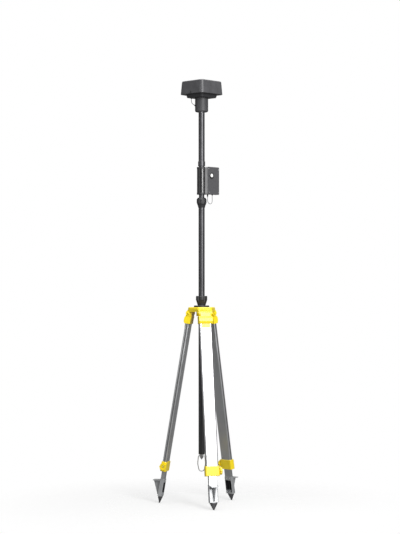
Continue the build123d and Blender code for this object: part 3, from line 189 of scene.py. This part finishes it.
def noise(wire, place, scale, detail=3.0, roughness=0.5):
    """A noise value about 0.5 at the given number of cells a metre."""
    return wire.node(
        "ShaderNodeTexNoise",
        (),
        {"Vector": place, "Scale": scale, "Detail": detail, "Roughness": roughness},
    )


def tinted(wire, value, stops):
    """A colour looked up from a value on a ramp of (position, colour) stops."""
    return wire.node("ShaderNodeValToRGB", {"stops": stops}, {"Fac": value})


def shade(colour, amount):
    """A colour made lighter or darker by a factor, kept within 0 and 1."""
    return tuple(min(1.0, channel * amount) for channel in colour)


def dress(name, colour, rough, grain, grain_depth, spread=0.12, rough_spread=0.1,
          metal=0.0, coat=0.0, cloud=14.0, turn=None, stretch=(1, 1, 1), specks=0.0):
    """A moulded, coated or metal finish on Object coordinates.

    Colour = the base colour times 1 +- spread over soft clouds. Roughness = rough + a share
    of the same clouds. Height = grain-sized noise, stretched along the drawing direction.
    """
    material = bpy.data.materials.new(name)
    wire = link_tree(material)
    place = wire.node("ShaderNodeTexCoord", (), (), out=3)
    if turn is not None:
        place = wire.node("ShaderNodeMapping", (), {"Vector": place, "Rotation": turn})
    clouds = noise(wire, place, cloud, 4.0, 0.6)
    drawn = wire.node("ShaderNodeMapping", (), {"Vector": place, "Scale": stretch})
    fine = noise(wire, drawn, grain, 2.0, 0.55)
    tone = clouds * (1 - specks) + fine * specks
    base = tinted(
        wire,
        tone,
        [(0.3, shade(colour, 1 - spread)), (0.7, shade(colour, 1 + spread))],
    )
    bump = wire.node(
        "ShaderNodeBump", (), {"Strength": 1.0, "Distance": grain_depth, "Height": fine}
    )
    roughness = (clouds - 0.5) * (2 * rough_spread) + rough
    shader = wire.node(
        "ShaderNodeBsdfPrincipled",
        (),
        {"Base Color": base, "Roughness": roughness, "Metallic": metal,
         "Coat Weight": coat, "Coat Roughness": 0.2, "Normal": bump},
    )
    wire.node("ShaderNodeOutputMaterial", (), {"Surface": shader})
    return material


def paint_node(material, *nodes):
    """Gives CAD nodes a finish in every slot of their meshes."""
    for name in nodes:
        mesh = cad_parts[name].data
        if not mesh.materials:
            mesh.materials.append(material)
        for slot in range(len(mesh.materials)):
            mesh.materials[slot] = material


def leg_frame(angle):
    """Origin at a leg's hinge, and unit vectors along its pin, outward and down the leg."""
    turn = radians(angle)
    outward = Vector((cos(turn), sin(turn), 0))
    tangent = Vector((-sin(turn), cos(turn), 0))
    normal = outward * cos(SPLAY) + Vector((0, 0, sin(SPLAY)))
    down = outward * sin(SPLAY) - Vector((0, 0, cos(SPLAY)))
    return outward * HINGE[0] + Vector((0, 0, HINGE[1])), tangent, normal, down


yellow_coat = dress("yellow_coat", (0.95, 0.74, 0.015), 0.36, 700, 0.00022, spread=0.05,
                    coat=0.25, cloud=22)
zinc = dress("zinc_plate", (0.62, 0.63, 0.64), 0.3, 500, 0.0001, spread=0.15, metal=1.0,
             cloud=60)
paint_node(yellow_coat, "head_plate", "hinge_casting_1", "hinge_casting_2",
           "hinge_casting_3", "hinge_bolts")
paint_node(zinc, "collar_screws")


def skin(name, grids, material, body, ring=False, crease=35):
    """One mesh over grids of points (rows, columns, 3), whose columns close round.

    The rows close too where ring is true; otherwise the end rows are filled with a face.
    """
    points, faces, count = [], [], 0
    for grid in grids:
        rows, columns = grid.shape[:2]
        index = np.arange(rows * columns).reshape(rows, columns) + count
        if ring:
            index = np.vstack([index, index[:1]])
        low, high = index[:-1], index[1:]
        quads = np.stack([low, np.roll(low, -1, 1), np.roll(high, -1, 1), high], -1)
        faces += quads.reshape(-1, 4).tolist()
        if not ring:
            faces += [index[0][::-1].tolist(), index[-1].tolist()]
        points.append(grid.reshape(-1, 3))
        count += rows * columns
    mesh = bpy.data.meshes.new(name)
    mesh.from_pydata(np.concatenate(points).tolist(), [], faces)
    work = bmesh.new()
    work.from_mesh(mesh)
    bmesh.ops.recalc_face_normals(work, faces=work.faces)
    work.to_mesh(mesh)
    work.free()
    mesh.polygons.foreach_set("use_smooth", np.ones(len(mesh.polygons), bool))
    mesh.set_sharp_from_angle(angle=radians(crease))
    mesh.materials.append(material)
    made = bpy.data.objects.new(name, mesh)
    bpy.context.scene.collection.objects.link(made)
    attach(made, body)
    return made


def turned(profile, centre, axis, columns=48, lobes=6, depth=0.0):
    """A turned or faceted form as a grid. Profile rows are (radius, height, hexagon), in mm.

    Point = centre + axis * height + radius * form * (side cos t + across sin t), where form
    goes from round to six-sided as hexagon goes from 0 to 1, and depth adds lobes to it.
    """
    profile = np.array(profile, float)
    axis = Vector(axis).normalized()
    side = axis.orthogonal().normalized()
    across = axis.cross(side)
    t = np.arange(columns) * 2 * pi / columns
    flats = np.cos(pi / 6) / np.cos(np.mod(t, pi / 3) - pi / 6)
    form = 1 + profile[:, 2:3] * (flats - 1) + depth * np.cos(lobes * t)
    reach = profile[:, :1] * form / 1000
    height = np.repeat(profile[:, 1:2] / 1000, columns, 1)
    return (
        np.array(centre)
        + height[..., None] * np.array(axis)
        + (reach * np.cos(t))[..., None] * np.array(side)
        + (reach * np.sin(t))[..., None] * np.array(across)
    )


# The hinge bolts have a raised washer face on their heads, and a domed end past the nut.
# They are coated with the castings.
BOLT_HEAD_FACE = 0.041
BOLT_END = 0.042
crowns = []
for angle in LEG_ANGLES:
    hinge, tangent, normal, down = leg_frame(angle)
    crowns.append(turned(
        [(5.6, -0.4, 0), (5.4, 0.2, 0), (4.8, 0.5, 0), (3.0, 0.7, 0), (0.2, 0.75, 0)],
        hinge - tangent * BOLT_HEAD_FACE, -tangent,
    ))
    crowns.append(turned(
        [(4.9, -0.5, 0), (4.6, 0.3, 0), (3.4, 0.9, 0), (1.6, 1.2, 0), (0.2, 1.25, 0)],
        hinge + tangent * BOLT_END, tangent,
    ))
skin("hinge_bolt_crowns", crowns, yellow_coat, "head")

# ---------------------------------------------------------------- mast collar
# The flange, the collet and the tulip nut are black glass-filled nylon, moulded, with a
# spark-eroded grain.
black_nylon = dress("black_nylon", (0.022, 0.022, 0.024), 0.46, 1400, 0.00012, spread=0.3,
                    rough_spread=0.08)
paint_node(black_nylon, "collar_flange", "mast_collet", "collar_nut", "lock_body",
           "lock_collet", "lock_nut", "slide_bush", "bracket_bushes", "unit_glands",
           "lead_glands", "bracket_knob")

# ---------------------------------------------------------------- legs
# Each leg is two extruded aluminium profiles, drawn and satin anodised, so fine lines run
# down them. The clamp is a glossy yellow moulding; the shoe is zinc-plated pressed steel.
for number, angle in enumerate(LEG_ANGLES, 1):
    drawn_leg = dress(
        f"drawn_aluminium_{number}", (0.76, 0.77, 0.78), 0.34, 260, 0.00008, spread=0.06,
        metal=1.0, cloud=9, turn=(0, -SPLAY, -radians(angle)), stretch=(3.5, 3.5, 0.02),
        specks=0.35,
    )
    paint_node(drawn_leg, f"outer_leg_{number}", f"inner_leg_{number}")
yellow_moulding = dress("yellow_moulding", (0.95, 0.72, 0.015), 0.3, 900, 0.00008,
                        spread=0.05, coat=0.3, cloud=30)
shoe_steel = dress("shoe_steel", (0.58, 0.59, 0.60), 0.42, 320, 0.00008, spread=0.10,
                   metal=0.7, cloud=45)
spike_steel = dress("spike_steel", (0.26, 0.26, 0.27), 0.42, 420, 0.0002, spread=0.25,
                    metal=1.0, cloud=70)
for number in (1, 2, 3):
    paint_node(yellow_moulding, f"leg_clamp_{number}", f"clamp_knob_{number}")
    paint_node(shoe_steel, f"shoe_{number}")
    paint_node(spike_steel, f"spike_{number}")

# A black strip runs down the middle of each narrow side of the outer leg, from its casting
# to its clamp: painted shade, standing for the shadow in the groove of the leg's side.
STRIP_ENDS = (0.060, 0.807)
LEG_HALF_WIDTH = 0.034
# Painted shade: this black stands for the shadow in the leg's side groove.
groove_shadow_strip = dress("groove_shadow_strip", (0.035, 0.035, 0.036), 0.6, 900, 0.00006, spread=0.15)
strip_section = np.array([(-0.6, -1.9), (-0.6, 1.9), (0.25, 1.5), (0.4, 0.6), (0.4, -0.6),
                          (0.25, -1.5)]) / 1000
for number, angle in enumerate(LEG_ANGLES, 1):
    hinge, tangent, normal, down = leg_frame(angle)
    strips = [
        np.array([
            [hinge + tangent * side * (LEG_HALF_WIDTH + proud) + normal * out + down * along
             for proud, out in strip_section]
            for along in STRIP_ENDS
        ])
        for side in (-1, 1)
    ]
    skin(f"leg_side_strips_{number}", strips, groove_shadow_strip, f"leg_{number}")

# A cap screw with a hexagon socket holds each knob; two domed rivets on each face of the
# cup hold the inner leg in its shoe, and a large one ends the spike's shank.
KNOB_AT = 0.835
KNOB_FLOOR = 0.0505
CUP_RIVETS_AT = 0.914
CUP_HALF_DEPTH = 0.01145
SHANK_HEAD_AT = 0.9875
socket_head = [(5.6, -0.6, 0), (5.6, 1.3, 0), (5.2, 1.8, 0), (3.2, 1.8, 0), (3.0, 1.6, 1),
               (2.9, 0.2, 1), (0.2, 0.0, 0)]
rivet_head = [(3.4, -0.4, 0), (3.3, 0.2, 0), (2.8, 0.9, 0), (1.8, 1.4, 0), (0.2, 1.6, 0)]
shank_head = [(6.6, -0.5, 0), (6.6, 0.6, 0), (6.1, 1.9, 0), (4.8, 3.2, 0), (2.6, 4.1, 0),
              (0.2, 4.4, 0)]
for number, angle in enumerate(LEG_ANGLES, 1):
    hinge, tangent, normal, down = leg_frame(angle)
    skin(f"knob_screw_{number}",
         [turned(socket_head, hinge + down * KNOB_AT + tangent * KNOB_FLOOR, tangent)],
         zinc, f"clamp_knob_{number}")
    rivets = [
        turned(rivet_head, hinge + down * CUP_RIVETS_AT + tangent * across
               + normal * face * CUP_HALF_DEPTH, normal * face, columns=24)
        for face in (-1, 1) for across in (-0.014, 0.014)
    ]
    rivets.append(turned(shank_head, hinge + down * SHANK_HEAD_AT, -down))
    skin(f"shoe_rivets_{number}", rivets, zinc, f"leg_foot_{number}")

# A black moulded liner with a middle rib lines the open side of each shoe.
LINER_ENDS = (0.9245, 0.9800)
liner_section = np.array([
    (-21.8, -10.9), (-21.8, 6.9), (21.8, 6.9), (21.8, -10.9), (20.4, -10.9), (20.0, 5.4),
    (2.6, 5.4), (2.1, -5.0), (-2.1, -5.0), (-2.6, 5.4), (-20.0, 5.4), (-20.4, -10.9),
]) / 1000
for number, angle in enumerate(LEG_ANGLES, 1):
    hinge, tangent, normal, down = leg_frame(angle)
    grid = np.array([
        [hinge + tangent * across + normal * out + down * along
         for across, out in liner_section]
        for along in LINER_ENDS
    ])
    liner = skin(f"shoe_liner_{number}", [grid], black_nylon, f"leg_foot_{number}")
    edge = liner.modifiers.new("edge", "BEVEL")
    edge.width = 0.0005
    edge.segments = 2

# ---------------------------------------------------------------- mast
# Three lengths of drawn aluminium tube and their sleeve, hard anodised black. The drawing
# lines and the wear of the sliding fit show as fine streaks up the tube.
black_tube = dress("black_anodising", (0.085, 0.085, 0.090), 0.42, 240, 0.000004,
                   spread=0.15, rough_spread=0.05, metal=0.8, cloud=12,
                   stretch=(2, 2, 0.03), specks=0.2)
paint_node(black_tube, "lower_tube", "inner_tube", "upper_tube", "coupling_sleeve")
paint_node(zinc, "mast_point", "weight_ring")
paint_node(spike_steel, "mast_adapter")

# ---------------------------------------------------------------- control unit
# A die-cast box with a grey powder coat, and a moulded front plate with a pale cap. Its
# bracket is an extruded sleeve, anodised a glossy black.
unit_coat = dress("unit_coat", (0.34, 0.34, 0.345), 0.5, 800, 0.0002, spread=0.15, cloud=40)
bracket_black = dress("bracket_black", (0.014, 0.014, 0.015), 0.3, 300, 0.000004, spread=0.2,
                      rough_spread=0.04, coat=0.4, stretch=(3, 3, 0.05))
panel_moulding = dress("panel_moulding", (0.075, 0.075, 0.08), 0.5, 500, 0.00025,
                       spread=0.4, cloud=160, specks=0.3)
cap_white = dress("cap_white", (0.86, 0.87, 0.86), 0.28, 900, 0.00003, spread=0.03)
soft_seal = dress("soft_seal", (0.02, 0.02, 0.02), 0.7, 900, 0.0001)
board_green = dress("board_green", (0.02, 0.16, 0.06), 0.35, 500, 0.00005, coat=0.4)
cell_wrap = dress("cell_wrap", (0.07, 0.2, 0.5), 0.3, 400, 0.00004, coat=0.4)
paint_node(unit_coat, "unit_body")
paint_node(bracket_black, "bracket")
paint_node(panel_moulding, "unit_panel")
paint_node(cap_white, "power_button")
paint_node(soft_seal, "panel_seal", "cover_seal")
paint_node(board_green, "unit_board", "receiver_board")
paint_node(cell_wrap, "unit_battery", "battery_cells")
paint_node(zinc, "panel_screws", "receiver_screws")


def rounded_rectangle(width, height, corner, columns=96):
    """Points (u, v) = sign * (half side - corner) + corner * (cos t, sin t), in mm."""
    t = (np.arange(columns) + 0.5) * 2 * pi / columns
    turn = np.c_[np.cos(t), np.sin(t)]
    return np.sign(turn) * (np.array([width, height]) / 2 - corner) + corner * turn


def carried(path, section, up):
    """A section carried round a closed path: point = path + a * side + b * up.

    Side is square to the path's direction and to up, and (a, b) are the section's points.
    """
    up = np.array(up, float)
    direction = np.roll(path, -1, 0) - np.roll(path, 1, 0)
    side = np.cross(direction, up)
    side /= np.linalg.norm(side, axis=1, keepdims=True)
    section = np.array(section, float) / 1000
    return path[:, None] + section[:, :1] * side[:, None] + section[:, 1:] * up


def ring_section(half_width, half_height, columns=10):
    """An oval section, (a, b) = (half width cos t, half height sin t), in mm."""
    t = np.arange(columns) * 2 * pi / columns
    return np.c_[half_width * np.cos(t), half_height * np.sin(t)]


# Front plate fittings: lobed pan screws, a black moulded ring round the button, and the
# lip of the rubber seal, which shows as a fine line between the plate and the tray.
UNIT_MIDDLE = (0.0415, 1.7315)
UNIT_FACE = -0.050
PANEL_JOINT = -0.047
PANEL_SCREW_AT = (0.0365, 0.0605)  # from the middle of the plate
BEZEL_HEIGHT = 0.0022
BUTTON_AT = (-0.017, 0.0275)  # from the middle of the plate
pan_head = [(1.4, -6.0, 0), (1.4, -0.9, 0), (2.8, -0.5, 0), (2.8, 0.3, 0), (2.3, 0.9, 0),
            (1.5, 1.05, 0), (1.3, 0.9, 1), (1.2, -0.1, 1), (0.1, -0.2, 0)]
screws = [
    turned(pan_head, (UNIT_MIDDLE[0] + dx * PANEL_SCREW_AT[0], UNIT_FACE,
                      UNIT_MIDDLE[1] + dz * PANEL_SCREW_AT[1]), (0, -1, 0), columns=36)
    for dx in (-1, 1) for dz in (-1, 1)
]
panel_heads = skin("panel_pan_screws", screws, zinc, "unit")
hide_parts("panel_screws")
bezel_middle = (UNIT_MIDDLE[0] + BUTTON_AT[0], UNIT_FACE - BEZEL_HEIGHT,
                UNIT_MIDDLE[1] + BUTTON_AT[1])
skin("button_ring", [turned(
    [(9.8, -1.0, 0), (16.2, -1.0, 0), (16.0, 0.3, 0), (14.8, 0.8, 0), (11.2, 0.8, 0),
     (10.0, 0.3, 0)], bezel_middle, (0, -1, 0), columns=64)],
    bracket_black, "unit", ring=True)
outline = rounded_rectangle(86.2, 147.2, 4.1) / 1000
path = np.c_[outline[:, 0] + UNIT_MIDDLE[0], np.full(len(outline), PANEL_JOINT),
             outline[:, 1] + UNIT_MIDDLE[1]]
skin("panel_seal_lip", [carried(path, ring_section(0.35, 0.5), (0, -1, 0))], soft_seal,
     "unit", ring=True)

# ---------------------------------------------------------------- receiver
# The square housing and the canister under it are moulded in dark grey plastic.
cover_moulding = dress("cover_moulding", (0.060, 0.060, 0.064), 0.42, 1100, 0.00018,
                       spread=0.15, cloud=25)
base_moulding = dress("base_moulding", (0.030, 0.030, 0.033), 0.5, 1100, 0.00018)
canister_moulding = dress("canister_moulding", (0.056, 0.056, 0.060), 0.55, 1100, 0.00015)
fired_ceramic = dress("fired_ceramic", (0.7, 0.66, 0.58), 0.6, 300, 0.0001)
paint_node(cover_moulding, "receiver_cover")
paint_node(base_moulding, "receiver_base")
paint_node(canister_moulding, "canister")
paint_node(fired_ceramic, "antenna_patch")

# The housing's lid sits in the cover with a rubber lip; its screws are lobed pan heads in
# the underside. The canister seats on a thin black gasket under the tapered foot.
CANISTER_RIM = 2.177
COVER_FOOT = 2.194
COVER_SCREW_AT = 0.072
outline = rounded_rectangle(164.6, 164.6, 17.4, 128) / 1000
path = np.c_[outline, np.full(len(outline), COVER_FOOT - 0.0001)]
skin("lid_seal_lip", [carried(path, ring_section(0.8, 0.6), (0, 0, 1))], soft_seal,
     "mast_upper", ring=True)
screws = [
    turned(pan_head, (dx * COVER_SCREW_AT, dy * COVER_SCREW_AT, COVER_FOOT), (0, 0, -1),
           columns=36)
    for dx in (-1, 1) for dy in (-1, 1)
]
lid_heads = skin("lid_pan_screws", screws, zinc, "mast_upper")
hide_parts("receiver_screws")
skin("canister_gasket", [turned(
    [(34.0, -1.2, 0), (35.9, -1.2, 0), (36.1, -0.6, 0), (35.9, 0.0, 0), (34.0, 0.0, 0)],
    (0, 0, CANISTER_RIM), (0, 0, 1), columns=96)],
    soft_seal, "mast_upper", ring=True)

# A round service port closes with a rubber plug near the foot of one side of the housing.
COVER_SLOPE = atan(5.5 / 72)  # the sides lean in by this angle
PORT_AT = (-0.0843, 0.0, 2.2028)
skin("service_port", [turned(
    [(6.4, -0.8, 0), (6.4, 0.4, 0), (6.0, 0.8, 0), (5.2, 0.8, 0), (4.9, 0.3, 0),
     (4.7, 0.2, 0), (1.4, 0.3, 0), (1.2, 0.6, 0), (0.2, 0.7, 0)],
    PORT_AT, (-cos(COVER_SLOPE), 0, sin(COVER_SLOPE)), columns=64)],
    soft_seal, "mast_upper")

# ---------------------------------------------------------------- leads
# Two thin coaxial leads in a grey jacket. One drops from the housing and turns into the
# canister, the other hangs in a loop under the control unit.
LEAD_DIAMETER = 0.0032
UNIT_GLAND = (0.006, -0.0385, 1.658)
unit_route = [
    (UNIT_GLAND[0] + across / 1000, UNIT_GLAND[1] - forward / 1000,
     UNIT_GLAND[2] - drop / 1000)
    for across, forward, drop in (
        (0, 0, 14), (0, 0, 25), (0.6, 0.3, 38.2), (7.2, 0.9, 47.9), (18.4, 1.2, 51.5),
        (29.5, 0.9, 47.7), (36.2, 0.3, 38), (36, 0, 21), (36, 0, 5),
    )
]
antenna_route = [
    (-reach / 1000 / 2**0.5, reach / 1000 / 2**0.5, CANISTER_RIM - drop / 1000)
    for reach, drop in ((55, 6), (55, 18), (52.1, 27), (46.6, 33.5), (40, 37.3))
]


def lead(name, node, route, material, body):
    """One open NURBS spline of order 3 through the route's control points, as a round cord."""
    curve = bpy.data.curves.new(name, "CURVE")
    curve.dimensions = "3D"
    curve.bevel_depth = LEAD_DIAMETER / 2
    curve.bevel_resolution = 5
    curve.use_fill_caps = True
    spline = curve.splines.new("NURBS")
    spline.points.add(len(route) - 1)
    spline.points.foreach_set("co", np.c_[np.array(route), np.ones(len(route))].ravel())
    spline.order_u = 3
    spline.use_endpoint_u = True
    spline.resolution_u = 12
    curve.materials.append(material)
    made = bpy.data.objects.new(name, curve)
    bpy.context.scene.collection.objects.link(made)
    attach(made, body)
    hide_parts(node)
    return made


grey_jacket = dress("grey_jacket", (0.20, 0.20, 0.205), 0.5, 1600, 0.00006, spread=0.1,
                    cloud=120)
unit_loop = lead("unit_loop", "unit_lead", unit_route, grey_jacket, "unit")
antenna_tail = lead("antenna_tail", "antenna_lead", antenna_route, grey_jacket,
                    "mast_upper")
